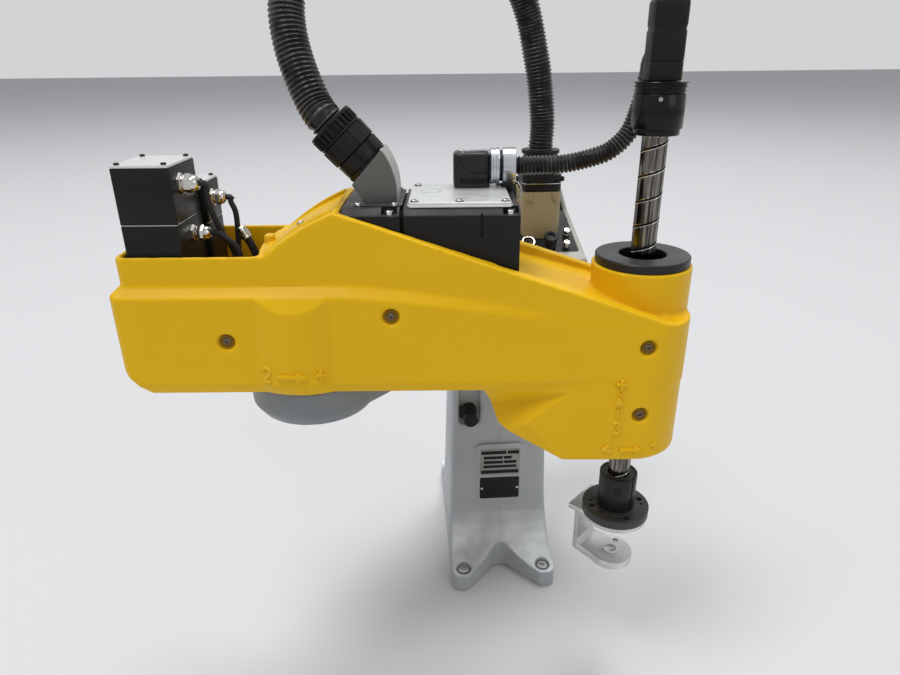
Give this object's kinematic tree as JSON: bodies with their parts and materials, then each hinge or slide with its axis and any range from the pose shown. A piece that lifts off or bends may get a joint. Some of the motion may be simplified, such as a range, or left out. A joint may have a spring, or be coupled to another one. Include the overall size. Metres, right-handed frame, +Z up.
{
  "type": "industrial robot arm",
  "caption": "Floor-standing selective-compliance robot arm: grey column, folded inner arm, yellow moulded forearm and a vertical quill with a gripper bracket.",
  "frame": {"origin": "where the first joint's vertical axis meets the floor, in the middle of the base's underside", "axes": "+Z up along the first joint; -Y is the base's front with the bare plates; +X is the side of the connector console"},
  "size_m": [0.6613, 0.5904, 1.1101],
  "materials": {
    "base_casting": "smooth light grey enamel on cast metal",
    "base_side_connector": "black connector cap",
    "console_housing": "smooth light grey enamel",
    "connector_panel": "matt black sheet",
    "round_connector": "bright connector ring",
    "panel_plug": "ribbed black plug",
    "air_fitting_upper": "nickel plated",
    "air_fitting_lower": "nickel plated",
    "junction_box": "tan moulded plastic",
    "conduit_clamp": "black moulded plastic",
    "conduit_rise": "black corrugated conduit",
    "upper_arm": "smooth grey enamel on cast metal",
    "shoulder_cap": "black cap",
    "elbow_turntable": "grey ring",
    "forearm_cover": "yellow moulded cover, satin",
    "elbow_motor": "black motor housing",
    "elbow_motor_lid": "grey lid",
    "quill_motor": "black motor housing",
    "quill_motor_lid": "grey lid",
    "gland_elbow_motor": "nickel plated brass",
    "gland_quill_motor": "nickel plated brass",
    "centre_cover": "matt black cover",
    "top_plate": "milled aluminium",
    "bracket_base": "matt black plate",
    "conduit_bracket": "grey painted sheet metal",
    "conduit_fitting": "black moulded fitting",
    "conduit_fall": "black corrugated conduit",
    "hose_hood": "black moulded hood",
    "hose_clamp": "chromed clamp rings",
    "quill_hose": "black corrugated hose",
    "quill_ring": "black ring",
    "head_collar": "black anodised collar",
    "head_elbow": "glossy black moulding",
    "quill_shaft": "ground ball screw spline",
    "tool_flange": "black oxide",
    "tool_bracket": "milled aluminium",
    "rear_bracket": "smooth light grey enamel on cast metal",
    "gland_elbow_signal": "nickel plated brass",
    "cable_elbow_motor": "smooth black cable jacket",
    "cable_elbow_signal": "smooth black cable jacket",
    "cable_quill_motor": "smooth black cable jacket",
    "tub_lead": "smooth black cable jacket",
    "tub_plug": "nickel-plated plug",
    "clamp_hub": "black oxide"
  },
  "bodies": {
    "base": {"base_casting": "base_casting", "base_side_connector": "base_side_connector", "console_housing": "console_housing", "connector_panel": "connector_panel", "round_connector": "round_connector", "panel_plug": "panel_plug", "air_fitting_upper": "air_fitting_upper", "air_fitting_lower": "air_fitting_lower", "junction_box": "junction_box", "conduit_clamp": "conduit_clamp", "conduit_rise": "conduit_rise", "rear_bracket": "rear_bracket"},
    "inner_arm": {"upper_arm": "upper_arm", "shoulder_cap": "shoulder_cap"},
    "forearm": {"elbow_turntable": "elbow_turntable", "forearm_cover": "forearm_cover", "elbow_motor": "elbow_motor", "elbow_motor_lid": "elbow_motor_lid", "quill_motor": "quill_motor", "quill_motor_lid": "quill_motor_lid", "gland_elbow_motor": "gland_elbow_motor", "gland_quill_motor": "gland_quill_motor", "centre_cover": "centre_cover", "top_plate": "top_plate", "bracket_base": "bracket_base", "conduit_bracket": "conduit_bracket", "conduit_fitting": "conduit_fitting", "conduit_fall": "conduit_fall", "hose_hood": "hose_hood", "hose_clamp": "hose_clamp", "quill_hose": "quill_hose", "quill_ring": "quill_ring", "gland_elbow_signal": "gland_elbow_signal", "cable_elbow_motor": "cable_elbow_motor", "cable_elbow_signal": "cable_elbow_signal", "cable_quill_motor": "cable_quill_motor", "tub_lead": "tub_lead", "tub_plug": "tub_plug"},
    "quill_head": {"head_collar": "head_collar", "head_elbow": "head_elbow"},
    "tool": {"quill_shaft": "quill_shaft", "tool_flange": "tool_flange", "tool_bracket": "tool_bracket", "clamp_hub": "clamp_hub"}
  },
  "joints": [
    {"name": "shoulder_turn", "type": "hinge", "parent": "base", "child": "inner_arm", "pos_m": [0, 0, 0.438], "axis": [0, 0, 1], "range_deg": [-167.5, 72.5], "deforming": ["conduit_rise"]},
    {"name": "elbow_turn", "type": "hinge", "parent": "inner_arm", "child": "forearm", "pos_m": [-0.26998, -0.29515, 0.497], "axis": [0, 0, 1], "range_deg": [-268.7, 11.3], "deforming": ["conduit_fall"]},
    {"name": "quill_slide", "type": "slide", "parent": "forearm", "child": "quill_head", "axis": [0, 0, 1], "range_m": [-0.131, 0.069], "deforming": ["quill_hose"]},
    {"name": "quill_turn", "type": "hinge", "parent": "quill_head", "child": "tool", "pos_m": [0.12917, -0.32131, 0.6], "axis": [0, 0, 1], "range_deg": [-400, 400]}
  ]
}
